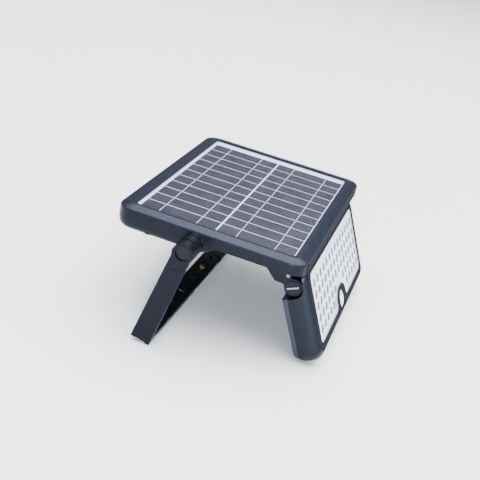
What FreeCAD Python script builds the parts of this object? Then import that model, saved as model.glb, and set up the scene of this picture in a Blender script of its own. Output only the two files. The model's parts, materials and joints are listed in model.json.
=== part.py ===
import FreeCAD, Part
import Sketcher
import math
import os

# Solar flood light: a solar panel case on a two-piece U bracket, with an LED lamp hinged under its edge.
# Row frame: +Z up, +Y along the object's length, +X towards the lamp; origin at the middle of the base.
# Three local frames carry the sub-parts, and each Placement puts one in the row frame:
#   case frame:    origin on the solar glass above the middle of the case, Z square to the glass
#   lamp frame:    origin on the lamp's hinge axis, X square to the lamp's face, Z up the face
#   bracket frame: origin on the pivot axis, Z along the arms

doc = FreeCAD.newDocument("solar_flood_light")
sheet = doc.addObject("Spreadsheet::Sheet", "Sheet")

DRIVING = {
    # stance, in the row frame
    "pivot_east": -29.34, "pivot_north": 11.1, "pivot_up": 106.16, "case_slope": 1.69,
    "bracket_lean": 13.4, "lamp_slope": 24.73,
    # case, in the case frame
    "case_wide": 193.0, "case_long": 269.8, "case_corner": 16.0, "lip_rise": 1.6, "seam_drop": 2.0,
    "seam_step": 0.5, "band_drop": 12.0, "thin_drop": 13.5, "deep_drop": 23.5, "deep_reach": 6.0,
    "base_inset": 3.0, "base_draft": 8.0, "wall": 2.4, "floor": 2.0, "base_round": 9.0,
    "cellar_inset": 8.4, "bezel_fall": 2.4, "bezel_slope": 9.5, "bezel_round": 1.1,
    "opening_wide": 163.0, "opening_long": 243.0, "opening_corner": 4.0, "lip_lap": 3.0,
    # solar laminate
    "cell_wide": 78.0, "cell_deep": 19.5, "column_pitch": 79.7, "row_pitch": 20.76, "cell_rows": 11,
    "cells_east": 0.9, "cells_north": -3.9, "cover_thick": 0.6, "cell_thick": 0.3,
    "laminate_thick": 2.0, "seal_wide": 1.2, "seal_thick": 1.0,
    # case screws
    "screw_r": 1.5, "screw_head_r": 2.7, "screw_well_r": 3.2, "screw_post_r": 4.8,
    "screw_seat_drop": 10.0, "bezel_boss_r": 3.1, "bezel_boss_drop": 7.0, "side_screw_inset": 6.9,
    # pivot
    "pivot_x": -13.2, "pivot_drop": 12.8, "ring_r": 10.6, "far_ring_r": 9.4, "boss_root_r": 9.2,
    "boss_reach": 138.4, "far_boss_reach": 135.5, "boss_root": 118.0, "turn_gap": 0.3, "ring_end": 143.0,
    "far_ring_end": 137.2, "knurl_deep": 2.2, "far_knurl_deep": 0.8, "bolt_r": 3.0, "running": 0.05,
    "bolt_head_r": 5.4, "bolt_head_thick": 4.0, "far_bolt_head_thick": 1.8, "bolt_seat": 153.0,
    "far_bolt_seat": 139.4, "head_well_r": 7.0, "nut_flats": 10.0, "nut_thick": 5.0,
    "cap_thick": 1.4, "cap_sink": 2.0, "groove_at": 151.0, "groove_wide": 2.0, "groove_deep": 1.5,
    "knurl_count": 30, "knurl_r": 0.45,
    # bracket
    "arm_face": 163.2, "far_arm_face": 141.4, "arm_thick": 4.0, "far_arm_thick": 4.2,
    "arm_drop": 107.2, "arm_top_wide": 18.6, "foot_wide": 20.4, "rib_wide": 7.0, "rib_proud": 1.0,
    "far_rib_proud": 0.6, "rib_top": 19.0, "rib_bottom": 98.0, "foot_deep": 8.0, "foot_plate": 3.2,
    "foot_rim": 2.2, "foot_mid": -10.9, "hole_pitch": 31.0, "small_hole_r": 2.6,
    "large_hole_r": 4.3, "near_shoulder": -38.3, "far_shoulder": 47.3, "arch_rise": 0.9,
    "joint_screw_r": 1.5, "joint_head_r": 2.9, "joint_head_thick": 2.0, "joint_nut_flats": 5.5,
    "joint_nut_thick": 2.4,
    # lamp hinge, in the case frame
    "hinge_x": 85.6, "hinge_drop": 37.5, "lug_in": 96.0, "lug_out": 107.0, "barrel_r": 9.0,
    "pin_r": 3.0, "pin_end": 80.0, "pin_head_r": 7.0, "pin_head_thick": 0.9, "pin_bar_long": 12.0,
    "pin_bar_wide": 1.6, "pin_bar_proud": 0.8, "lug_screw_r": 1.6, "end_screw_r": 1.0,
    # lamp, in the lamp frame
    "face_x": 16.9, "lamp_half": 107.0, "lamp_top": 15.6, "lamp_bottom": -72.4, "lamp_corner": 8.0,
    "bulge_half": 111.0, "bulge_top": 18.3, "bulge_bottom": -82.2, "bulge_corner": 14.0,
    "shoulder_half": 109.6, "shoulder_top": 17.3, "shoulder_bottom": -77.9, "shoulder_corner": 11.0,
    "shoulder_x": 12.9, "bulge_x": 4.0, "split_x": -7.5, "back_x": -13.5, "back_round": 3.5,
    "lamp_wall": 2.6, "notch_in": 95.0, "notch_r": 10.5, "notch_rim_x": 10.8, "notch_wall": 2.4,
    "notch_floor": -10.9, "boss_r": 7.0, "back_step": 1.2, "window_half": 100.8, "window_top": 9.7,
    "window_bottom": -65.5, "window_corner": 6.5, "lens_sink": 0.6, "lens_flange_x": 14.7,
    "lens_flange_thick": 1.6, "lens_flange_lap": 2.2, "lens_seal_thick": 0.5, "fit_gap": 0.2,
    "led_columns": 14, "led_rows": 5, "led_pitch_y": 13.83, "led_pitch_z": 12.36, "led_top_z": -3.4,
    "led_side": 3.4, "led_thick": 1.0, "board_x": 9.9, "board_thick": 1.6, "board_inset": 1.5,
    "heat_plate_thick": 1.5, "back_screw_r": 1.5, "back_post_r": 3.4,
    # motion sensor
    "sensor_z": -60.5, "arch_half": 19.5, "arch_top": -45.4, "arch_round": 15.0, "arch_flare": 6.0,
    "dome_hole_r": 10.5, "dome_rise": 0.6, "dome_ball_r": 22.0, "dome_root_x": 7.0, "can_r": 4.6,
    "can_long": 4.2,
    # electrics in the case
    "battery_r": 9.1, "battery_long": 65.0, "battery_pitch": 20.0, "battery_x": -63.0,
    "battery_lead": 36.0, "tray_wall": 1.4, "charge_x": -16.0, "charge_y": 52.0,
    "charge_wide": 26.0, "charge_long": 56.0, "gland_r": 4.0, "gland_drop": 18.0,
    # power button under the case
    "button_x": -62.0, "button_y": -96.0, "button_r": 4.6, "button_stem_r": 2.0,
    "button_proud": 2.0, "boot_r": 7.0, "boot_thick": 1.2, "button_play": 0.4,
}


def fill_sheet():
    for row, (alias, number) in enumerate(DRIVING.items(), start=1):
        sheet.set("A%d" % row, alias.replace("_", " "))
        sheet.set("B%d" % row, str(number))
        sheet.setAlias("B%d" % row, alias)
    doc.recompute()


fill_sheet()


def named(expression):
    """Every sheet alias in an expression gets the sheet's name in front of it."""
    words = []
    word = ""
    for letter in str(expression) + " ":
        if letter.isalnum() or letter == "_" or (letter == "." and word.replace(".", "").isdigit()):
            word += letter
            continue
        words.append("Sheet." + word if word in DRIVING else word)
        words.append(letter)
        word = ""
    return "".join(words).strip()


def number(expression):
    return float(sheet.evalExpression(named(expression)))


def vector(x, y, z):
    return FreeCAD.Vector(number(x), number(y), number(z))


# ---------------------------------------------------------------- placements of the three local frames

def turn(degrees):
    return FreeCAD.Rotation(FreeCAD.Vector(0, 1, 0), degrees)


def frames():
    slope = number("case_slope")
    pivot = vector("pivot_east", "pivot_north", "pivot_up")
    case_turn = turn(slope)
    pivot_in_case = vector("pivot_x", "0", "0 - pivot_drop")
    case = FreeCAD.Placement(pivot - case_turn.multVec(pivot_in_case), case_turn)
    hinge = vector("hinge_x", "0", "0 - hinge_drop")
    lamp = case.multiply(FreeCAD.Placement(hinge, turn(-number("lamp_slope"))))
    bracket = FreeCAD.Placement(pivot, turn(slope + number("bracket_lean")))
    return case, lamp, bracket


CASE, LAMP, BRACKET = frames()
PIECES = []


class Side:
    """The names of one side's sizes along the pivot axis: the near pivot is long, the far one short."""

    def __init__(self, near):
        self.near = near
        self.label = "near" if near else "far"
        self.sign = "0 - " if near else ""
        prefix = "" if near else "far_"
        self.boss_reach = prefix + "boss_reach"
        self.ring_end = prefix + "ring_end"
        self.ring_r = prefix + "ring_r"
        self.knurl_deep = prefix + "knurl_deep"
        self.arm_face = prefix + "arm_face"
        self.arm_thick = prefix + "arm_thick"
        self.rib_proud = prefix + "rib_proud"
        self.seat = prefix + "bolt_seat"
        self.head_thick = prefix + "bolt_head_thick"


SIDES = (Side(True), Side(False))


class Piece:
    """One sub-part: a PartDesign body whose sketches and features are bound to the sheet."""

    def __init__(self, label, place):
        self.body = doc.addObject("PartDesign::Body", label)
        self.body.Label = label
        self.body.AllowCompound = True
        self.place = place
        self.count = 0
        PIECES.append(self)

    def name(self, kind):
        self.count += 1
        return "%s_%s_%d" % (self.body.Label, kind, self.count)

    def sketch(self, plane, offset="0"):
        base = [f for f in self.body.Origin.OriginFeatures if f.Role == plane + "_Plane"][0]
        sketch = self.body.newObject("Sketcher::SketchObject", self.name("sketch"))
        sketch.AttachmentSupport = (base, [""])
        sketch.MapMode = "FlatFace"
        sketch.setExpression("AttachmentOffset.Base.z", named(offset))
        return sketch

    def bound(self, sketch, kind, geometry, expression):
        value = number(expression)
        index = sketch.addConstraint(Sketcher.Constraint(kind, *geometry, value))
        sketch.setExpression("Constraints[%d]" % index, named(expression))

    def polygon(self, sketch, points):
        first = sketch.GeometryCount
        corners = [vector(x, y, "0") for x, y in points]
        total = len(corners)
        for index in range(total):
            line = Part.LineSegment(corners[index], corners[(index + 1) % total])
            sketch.addGeometry(line, False)
        for index in range(total):
            after = first + (index + 1) % total
            sketch.addConstraint(Sketcher.Constraint("Coincident", first + index, 2, after, 1))
        for index, (x, y) in enumerate(points):
            self.bound(sketch, "DistanceX", (-1, 1, first + index, 1), x)
            self.bound(sketch, "DistanceY", (-1, 1, first + index, 1), y)
        return sketch

    def box(self, sketch, x0, x1, y0, y1):
        return self.polygon(sketch, [(x0, y0), (x1, y0), (x1, y1), (x0, y1)])

    def circle(self, sketch, x, y, radius):
        index = sketch.GeometryCount
        normal = FreeCAD.Vector(0, 0, 1)
        sketch.addGeometry(Part.Circle(vector(x, y, "0"), normal, number(radius)), False)
        self.bound(sketch, "DistanceX", (-1, 1, index, 3), x)
        self.bound(sketch, "DistanceY", (-1, 1, index, 3), y)
        self.bound(sketch, "Radius", (index,), radius)
        return sketch

    def smooth(self, sketch, corners):
        """A closed outline of level and upright lines, with a tangent arc at each (x, y, radius) corner."""
        first = sketch.GeometryCount
        total = len(corners)
        points = [vector(x, y, "0") for x, y, radius in corners]
        turns = []
        for index, (x, y, radius) in enumerate(corners):
            here, r = points[index], number(radius)
            arriving = (here - points[index - 1]).normalize()
            leaving = (points[(index + 1) % total] - here).normalize()
            centre = here + (leaving - arriving) * r
            turns.append((here - arriving * r, here + leaving * r, centre, arriving.cross(leaving).z > 0))
        for index in range(total):
            entry, leave, centre, left_turn = turns[index]
            sketch.addGeometry(Part.LineSegment(turns[index - 1][1], entry), False)
            start, end = (entry, leave) if left_turn else (leave, entry)
            circle = Part.Circle(centre, FreeCAD.Vector(0, 0, 1), (entry - centre).Length)
            start_angle = math.atan2(start.y - centre.y, start.x - centre.x)
            end_angle = math.atan2(end.y - centre.y, end.x - centre.x)
            sketch.addGeometry(Part.ArcOfCircle(circle, start_angle, end_angle), False)
        for index, (x, y, radius) in enumerate(corners):
            line, arc = first + 2 * index, first + 2 * index + 1
            after = first + (2 * index + 2) % (2 * total)
            into, out_of = (1, 2) if turns[index][3] else (2, 1)
            sketch.addConstraint(Sketcher.Constraint("Tangent", line, 2, arc, into))
            sketch.addConstraint(Sketcher.Constraint("Tangent", arc, out_of, after, 1))
            self.bound(sketch, "Radius", (arc,), radius)
            level = abs(points[index].y - points[index - 1].y) < 1e-6
            sketch.addConstraint(Sketcher.Constraint("Horizontal" if level else "Vertical", line))
            if level:
                self.bound(sketch, "DistanceY", (-1, 1, line, 1), y)
            else:
                self.bound(sketch, "DistanceX", (-1, 1, line, 1), x)
        return sketch

    def rounded(self, sketch, x0, x1, y0, y1, radius):
        return self.smooth(sketch, [(x0, y0, radius), (x1, y0, radius), (x1, y1, radius), (x0, y1, radius)])

    def made(self, item):
        doc.recompute()
        if "Invalid" in item.State or item.Shape.isNull():
            raise ValueError("%s failed: %s" % (item.Label, item.State))
        return item

    def feature(self, kind, sketch, length, backwards=False, draft=None):
        item = self.body.newObject("PartDesign::" + kind, self.name(kind.lower()))
        item.Profile = sketch
        item.setExpression("Length", named(length))
        item.Length = number(length)
        item.Reversed = backwards
        if draft:
            item.setExpression("TaperAngle", named(draft))
            item.TaperAngle = number(draft)
        return self.made(item)

    def pad(self, sketch, length, backwards=False, draft=None):
        """Adds along the sketch's normal, or against it when backwards."""
        return self.feature("Pad", sketch, length, backwards, draft)

    def pocket(self, sketch, length, backwards=False):
        """Cuts against the sketch's normal, or along it when backwards."""
        before = self.body.Shape.Volume
        item = self.feature("Pocket", sketch, length, backwards)
        if before - self.body.Shape.Volume < 1e-3:
            raise ValueError(item.Label + " cuts nothing")
        return item

    def loft(self, sketches):
        item = self.body.newObject("PartDesign::AdditiveLoft", self.name("loft"))
        item.Profile = sketches[0]
        item.Sections = sketches[1:]
        return self.made(item)

    def revolve(self, sketch):
        """A full turn about the sketch's own level axis."""
        item = self.body.newObject("PartDesign::Revolution", self.name("revolution"))
        item.Profile = sketch
        item.ReferenceAxis = (sketch, ["H_Axis"])
        item.Angle = 360
        return self.made(item)

    def soften(self, kind, radius, test, fall=None):
        """A fillet or chamfer on each edge of the body that passes the test."""
        tip = self.body.Tip
        edges = ["Edge%d" % (i + 1) for i, edge in enumerate(tip.Shape.Edges) if test(edge)]
        if not edges:
            raise ValueError("no edge to soften on " + self.body.Label)
        item = self.body.newObject("PartDesign::" + kind, self.name(kind.lower()))
        item.Base = (tip, edges)
        size = "Radius" if kind == "Fillet" else "Size"
        item.setExpression(size, named(radius))
        setattr(item, size, number(radius))
        if fall:
            item.ChamferType = "Two distances"
            item.setExpression("Size2", named(fall))
            item.Size2 = number(fall)
        return self.made(item)

    def fillet(self, radius, test):
        return self.soften("Fillet", radius, test)

    def chamfer(self, radius, test, fall):
        return self.soften("Chamfer", radius, test, fall)


def upright(edge):
    box = edge.BoundBox
    return box.ZLength > 0.5 and box.XLength < box.ZLength and box.YLength < box.ZLength


def level_at(edge, axis, place):
    box = edge.BoundBox
    low, high = getattr(box, axis + "Min"), getattr(box, axis + "Max")
    return abs(low - number(place)) < 1e-3 and abs(high - number(place)) < 1e-3


# ---------------------------------------------------------------- case

HALF_WIDE = "case_wide / 2"
HALF_LONG = "case_long / 2"


def case_screw_places():
    """Case screws run round the rim: three on each long side and two on each short one."""
    east = "(case_wide / 2 - side_screw_inset)"
    north = "(case_long / 2 - side_screw_inset)"
    places = []
    for y in ("0 - 92", "0", "92"):
        places.append(("0 - " + east, y))
    for y in ("0 - 62", "0", "62"):
        places.append((east, y))
    for x in ("0 - 61", "52"):
        places.append((x, "0 - " + north))
        places.append((x, north))
    return places


def top_bezel():
    bezel = Piece("top_bezel", CASE)
    plan = bezel.sketch("XY", "0 - seam_drop")
    case_outline(bezel, plan, "seam_step")
    bezel.pad(plan, "seam_drop + lip_rise")
    slope = bezel.chamfer("bezel_fall", lambda edge: level_at(edge, "Z", "lip_rise"), "bezel_slope")
    if slope.Shape.BoundBox.XLength < number("case_wide - 2 * seam_step") - 0.01:
        raise ValueError("bezel slope is the wrong way up")
    bezel.fillet("bezel_round", lambda edge: level_at(edge, "Z", "lip_rise - bezel_fall"))
    opening = bezel.sketch("XY", "lip_rise")
    bezel.rounded(opening, "0 - opening_wide / 2", "opening_wide / 2",
                  "0 - opening_long / 2", "opening_long / 2", "opening_corner")
    bezel.pocket(opening, "seam_drop + lip_rise")
    rebate = bezel.sketch("XY", "0")
    bezel.rounded(rebate, "0 - opening_wide / 2 - lip_lap", "opening_wide / 2 + lip_lap",
                  "0 - opening_long / 2 - lip_lap", "opening_long / 2 + lip_lap", "opening_corner")
    bezel.pocket(rebate, "seam_drop")
    bosses = bezel.sketch("XY", "0 - seam_drop - 0.001")
    holes = bezel.sketch("XY", "0 - bezel_boss_drop - 0.01")
    for x, y in case_screw_places():
        bezel.circle(bosses, x, y, "bezel_boss_r")
        bezel.circle(holes, x, y, "screw_r")
    bosses.setExpression("AttachmentOffset.Base.z", named("0 - bezel_boss_drop"))
    bezel.pad(bosses, "bezel_boss_drop - seam_drop + 0.5")
    bezel.pocket(holes, "bezel_boss_drop - seam_drop + 1", backwards=True)


def laminate_outline(piece, sketch, gap):
    piece.rounded(sketch, "0 - opening_wide / 2 - lip_lap + " + gap, "opening_wide / 2 + lip_lap - " + gap,
                  "0 - opening_long / 2 - lip_lap + " + gap, "opening_long / 2 + lip_lap - " + gap,
                  "opening_corner - " + gap)


def solar_laminate():
    glass = Piece("solar_glass", CASE)
    face = glass.sketch("XY", "0 - cover_thick")
    laminate_outline(glass, face, "fit_gap")
    glass.pad(face, "cover_thick")

    cells = Piece("solar_cells", CASE)
    grid = cells.sketch("XY", "0 - cover_thick - cell_thick")
    rows = int(number("cell_rows"))
    for side in ("-0.5", "0.5"):
        for row in range(rows):
            x = "(cells_east + column_pitch * (%s))" % side
            y = "(cells_north + row_pitch * (%.1f))" % (row - (rows - 1) / 2)
            cells.box(grid, x + " - cell_wide / 2", x + " + cell_wide / 2",
                      y + " - cell_deep / 2", y + " + cell_deep / 2")
    cells.pad(grid, "cell_thick")

    back = Piece("white_backsheet", CASE)
    sheet_face = back.sketch("XY", "0 - laminate_thick")
    laminate_outline(back, sheet_face, "fit_gap")
    back.pad(sheet_face, "laminate_thick - cover_thick - cell_thick")


def case_outline(piece, sketch, inset):
    piece.rounded(sketch, "0 - %s + %s" % (HALF_WIDE, inset), "%s - (%s)" % (HALF_WIDE, inset),
                  "0 - %s + %s" % (HALF_LONG, inset), "%s - (%s)" % (HALF_LONG, inset),
                  "case_corner - (%s)" % inset)


def case_seal():
    seal = Piece("case_seal", CASE)
    ring = seal.sketch("XY", "0 - seam_drop - seal_thick")
    case_outline(seal, ring, "(seam_step + wall - seal_wide)")
    case_outline(seal, ring, "(seam_step + wall)")
    seal.pad(ring, "seal_thick")


def lower_case():
    case = Piece("lower_case", CASE)
    band = case.sketch("XY", "0 - band_drop")
    case_outline(case, band, "0")
    case.pad(band, "band_drop - seam_drop")
    deep = case.sketch("XY", "0 - band_drop")
    case.rounded(deep, "0 - " + HALF_WIDE, "deep_reach", "0 - " + HALF_LONG, HALF_LONG, "case_corner")
    case.pad(deep, "deep_drop - band_drop", backwards=True, draft="0 - base_draft")
    case.fillet("base_round", lambda edge: level_at(edge, "Z", "0 - deep_drop"))
    thin = case.sketch("XY", "0 - band_drop")
    case.rounded(thin, "deep_reach - case_corner", "case_wide / 2 - base_inset",
                 "0 - case_long / 2 + base_inset", "case_long / 2 - base_inset", "case_corner - base_inset")
    case.pad(thin, "thin_drop - band_drop", backwards=True)

    # hollow: a wide room over the thin floor, and a deep one for the batteries
    room = case.sketch("XY", "0 - seam_drop")
    case_outline(case, room, "(seam_step + wall)")
    case.pocket(room, "thin_drop - seam_drop - floor")
    cellar = case.sketch("XY", "0 - thin_drop + floor")
    case.rounded(cellar, "0 - case_wide / 2 + cellar_inset", "deep_reach - cellar_inset",
                 "0 - case_long / 2 + cellar_inset", "case_long / 2 - cellar_inset",
                 "case_corner - base_inset - wall")
    case.pocket(cellar, "deep_drop - thin_drop")
    step = case.sketch("XY", "0 - seam_drop")
    case_outline(case, step, "(seam_step + wall - seal_wide)")
    case.pocket(step, "seal_thick")

    # round posts carry the case screws, and a well below each one hides its head
    posts = case.sketch("XY", "0 - deep_drop + floor")
    low_posts = case.sketch("XY", "0 - thin_drop + floor / 2")
    wells = case.sketch("XY", "0 - screw_seat_drop")
    holes = case.sketch("XY", "0 - screw_seat_drop - 1")
    for x, y in case_screw_places():
        deep_side = number(x) < number("deep_reach")
        case.circle(posts if deep_side else low_posts, x, y, "screw_post_r")
        case.circle(wells, x, y, "screw_well_r")
        case.circle(holes, x, y, "screw_r")
    case.pad(posts, "deep_drop - floor - bezel_boss_drop - turn_gap")
    case.pad(low_posts, "thin_drop - floor / 2 - bezel_boss_drop - turn_gap")
    case.pocket(wells, "deep_drop")
    case.pocket(holes, "deep_drop", backwards=True)

    # pivot bosses stand out of both long sides, with the bolt's hole and the nut's pocket
    for side in SIDES:
        for start, radius in (("boss_root", "boss_root_r"), ("(case_long / 2 - 1.5)", side.ring_r)):
            boss = case.sketch("XZ", "0 - (%s%s)" % (side.sign, start))
            case.circle(boss, "pivot_x", "0 - pivot_drop", radius)
            case.pad(boss, "%s - %s" % (side.boss_reach, start), backwards=not side.near)
    bolt_hole = case.sketch("XZ", "case_long")
    case.circle(bolt_hole, "pivot_x", "0 - pivot_drop", "bolt_r")
    case.pocket(bolt_hole, "case_long * 2")

    # openings: the lamp lead's gland in the step, the button under the deep floor
    gland = case.sketch("YZ", "deep_reach - wall - 6")
    case.circle(gland, "0", "0 - gland_drop", "gland_r")
    case.pocket(gland, "wall + 8", backwards=True)
    button = case.sketch("XY", "0 - deep_drop + floor + 2")
    case.circle(button, "button_x", "button_y", "button_r + button_play")
    case.pocket(button, "floor + 4")
    lug_holes = case.sketch("XY", "0 - thin_drop + floor + 1")
    for x, y in lug_screw_places():
        case.circle(lug_holes, x, y, "lug_screw_r")
    case.pocket(lug_holes, "floor + 2")


def case_screws():
    screws = Piece("case_screws", CASE)
    heads = screws.sketch("XY", "0 - screw_seat_drop")
    shanks = screws.sketch("XY", "0 - screw_seat_drop")
    slots = screws.sketch("XY", "0 - screw_seat_drop - 2")
    for x, y in case_screw_places():
        screws.circle(heads, x, y, "screw_head_r")
        screws.circle(shanks, x, y, "screw_r")
        screws.box(slots, x + " - 1.5", x + " + 1.5", y + " - 0.35", y + " + 0.35")
    screws.pad(heads, "2", backwards=True)
    screws.pad(shanks, "screw_seat_drop - seam_drop - 0.5")
    screws.pocket(slots, "1", backwards=True)


# ---------------------------------------------------------------- pivot hardware

def both_sides(piece, radius, start, end, x="pivot_x", z="0 - pivot_drop"):
    """A round stretch on the pivot axis at each side of the case, from start to end out from the middle."""
    for side, sign in (("near", "0 - "), ("far", "")):
        face = piece.sketch("XZ", "0 - (%s(%s))" % (sign, start))
        piece.circle(face, x, z, radius)
        piece.pad(face, "(%s) - (%s)" % (end, start), backwards=(side == "far"))


def hexagon(piece, sketch, x, y, flats):
    corners = []
    for corner in range(6):
        angle = 60 * corner
        corners.append(("%s + (%s) / sqrt(3) * cos(%d deg)" % (x, flats, angle),
                        "%s + (%s) / sqrt(3) * sin(%d deg)" % (y, flats, angle)))
    return piece.polygon(sketch, corners)


def pivot_bolts():
    """The near bolt ends deep in a long hub, the far one in the thickness of its arm."""
    bolts = Piece("pivot_bolts", CASE)
    for side in SIDES:
        root = "boss_root - nut_thick"
        seat = side.seat + " + turn_gap"
        for radius, start, end in (("bolt_r", root, seat + " + 0.5"),
                                   ("bolt_head_r", seat, seat + " + " + side.head_thick)):
            face = bolts.sketch("XZ", "0 - (%s(%s))" % (side.sign, start))
            bolts.circle(face, "pivot_x", "0 - pivot_drop", radius)
            bolts.pad(face, "(%s) - (%s)" % (end, start), backwards=not side.near)
        socket = bolts.sketch("XZ", "0 - (%s(%s + %s))" % (side.sign, seat, side.head_thick))
        hexagon(bolts, socket, "pivot_x", "(0 - pivot_drop)", "4")
        bolts.pocket(socket, side.head_thick + " / 2", backwards=not side.near)


def pivot_nuts():
    nuts = Piece("pivot_nuts", CASE)
    for sign, backwards in (("0 - ", False), ("", True)):
        face = nuts.sketch("XZ", "0 - (%s(boss_root - nut_thick))" % sign)
        hexagon(nuts, face, "pivot_x", "(0 - pivot_drop)", "nut_flats")
        nuts.circle(face, "pivot_x", "0 - pivot_drop", "bolt_r")
        nuts.pad(face, "nut_thick", backwards=backwards)


# ---------------------------------------------------------------- lamp hinge

LUG_SCREWS_X = ("52", "70")


def lug_screw_places():
    return [(x, "(%s(lug_in + lug_out) / 2)" % sign) for sign in ("0 - ", "") for x in LUG_SCREWS_X]


def hinge_lug(label, sign):
    lug = Piece(label, CASE)
    start = "(%slug_in)" % sign
    near = sign != ""
    side = lug.sketch("XZ", "0 - " + start)
    lug.polygon(side, [("hinge_x - 46", "0 - thin_drop"), ("hinge_x - 46", "0 - thin_drop - 2.5"),
                       ("hinge_x - 40", "0 - thin_drop - 4"), ("hinge_x - 27", "0 - hinge_drop + 8.5"),
                       ("hinge_x - 19.5", "0 - hinge_drop + 1"), ("hinge_x - 8", "0 - hinge_drop + 0.5"),
                       ("hinge_x", "0 - hinge_drop"), ("hinge_x - 3.5", "0 - hinge_drop + 8"),
                       ("hinge_x - 7.5", "0 - hinge_drop + 15"), ("hinge_x - 7.5", "0 - thin_drop")])
    lug.pad(side, "lug_out - lug_in", backwards=not near)
    barrel = lug.sketch("XZ", "0 - " + start)
    lug.circle(barrel, "hinge_x", "0 - hinge_drop", "barrel_r")
    lug.pad(barrel, "lug_out - lug_in", backwards=not near)
    bore = lug.sketch("XZ", "0 - " + start)
    lug.circle(bore, "hinge_x", "0 - hinge_drop", "pin_r")
    lug.pocket(bore, "lug_out - lug_in", backwards=near)
    end_hole = lug.sketch("XZ", "0 - (%s(lug_out - 5))" % sign)
    lug.circle(end_hole, "hinge_x - 7.5", "0 - hinge_drop + 10.8", "end_screw_r")
    lug.pocket(end_hole, "8", backwards=near)
    screw_holes = lug.sketch("XY", "0 - thin_drop")
    middle = "(%s(lug_in + lug_out) / 2)" % sign
    for x in LUG_SCREWS_X:
        lug.circle(screw_holes, x, middle, "lug_screw_r")
    lug.pocket(screw_holes, "8")


def lug_screws():
    screws = Piece("lug_screws", CASE)
    shanks = screws.sketch("XY", "0 - thin_drop + floor")
    heads = screws.sketch("XY", "0 - thin_drop + floor")
    for x, y in lug_screw_places():
        screws.circle(shanks, x, y, "lug_screw_r")
        screws.circle(heads, x, y, "lug_screw_r * 1.8")
    screws.pad(shanks, "floor + 7", backwards=True)
    screws.pad(heads, "1.8")


def pin_bar(piece, sketch, play):
    """The cross bar on a hinge pin's end, level with the lamp's back; play widens it."""
    along = "(pin_bar_long / 2 + %s)" % play
    half = "(pin_bar_wide / 2 + %s)" % play
    run, rise = "%s * cos(lamp_slope * 1 deg)" % along, "%s * sin(lamp_slope * 1 deg)" % along
    piece.polygon(sketch, [("hinge_x - " + run, "0 - hinge_drop - %s - %s" % (rise, half)),
                           ("hinge_x + " + run, "0 - hinge_drop + %s - %s" % (rise, half)),
                           ("hinge_x + " + run, "0 - hinge_drop + %s + %s" % (rise, half)),
                           ("hinge_x - " + run, "0 - hinge_drop - %s + %s" % (rise, half))])


def hinge_pins():
    pins = Piece("hinge_pins", CASE)
    both_sides(pins, "pin_r", "pin_end", "lug_out + 0.2", "hinge_x", "0 - hinge_drop")
    caps = Piece("hinge_caps", CASE)
    both_sides(caps, "pin_head_r", "lug_out + 0.21", "lug_out + pin_head_thick", "hinge_x",
               "0 - hinge_drop")
    screws = Piece("lug_end_screws", CASE)
    for sign, far in (("0 - ", False), ("", True)):
        bar = pins.sketch("XZ", "0 - (%s(lug_out + 0.1))" % sign)
        pin_bar(pins, bar, "0")
        pins.pad(bar, "pin_head_thick + pin_bar_proud", backwards=far)
        slot = caps.sketch("XZ", "0 - (%s(lug_out))" % sign)
        pin_bar(caps, slot, "0.02")
        caps.pocket(slot, "pin_head_thick + 1", backwards=not far)
        for radius, start, long in (("end_screw_r", "lug_out - 5", "5.5"),
                                    ("end_screw_r * 1.8", "lug_out", "1")):
            face = screws.sketch("XZ", "0 - (%s(%s))" % (sign, start))
            screws.circle(face, "hinge_x - 7.5", "0 - hinge_drop + 10.8", radius)
            screws.pad(face, long, backwards=far)


# ---------------------------------------------------------------- electrics inside the case

def batteries():
    cells = Piece("battery_cells", CASE)
    axis_drop = "(deep_drop - floor - tray_wall - battery_r)"
    for column in ("-0.5", "0.5"):
        for start in ("battery_lead / 2", "0 - battery_lead / 2 - battery_long"):
            x = "(battery_x + battery_pitch * (%s))" % column
            end = cells.sketch("XZ", "0 - (%s)" % start)
            cells.circle(end, x, "0 - " + axis_drop, "battery_r - 0.15")
            cells.pad(end, "battery_long", backwards=True)
            tip = cells.sketch("XZ", "0 - (%s + battery_long)" % start)
            cells.circle(tip, x, "0 - " + axis_drop, "2.7")
            cells.pad(tip, "0.9", backwards=True)


def battery_tray():
    tray = Piece("battery_tray", CASE)
    base = tray.sketch("XY", "0 - deep_drop + floor + 0.01")
    half = "(battery_pitch / 2 + battery_r + tray_wall)"
    long_half = "(battery_long + battery_lead / 2 + tray_wall + 1.2)"
    tray.box(base, "battery_x - " + half, "battery_x + " + half, "0 - " + long_half, long_half)
    tray.pad(base, "tray_wall + battery_r")
    rooms = tray.sketch("XY", "0 - deep_drop + floor + tray_wall")
    inner = half + " - tray_wall"
    for low, high in (("battery_lead / 2 - 0.3", "battery_lead / 2 + battery_long + 1.1"),
                      ("0 - battery_lead / 2 - battery_long - 0.3", "0 - battery_lead / 2 + 1.1")):
        tray.box(rooms, "battery_x - (%s)" % inner, "battery_x + (%s)" % inner, low, high)
    tray.pocket(rooms, "battery_r + 5", backwards=True)


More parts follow.
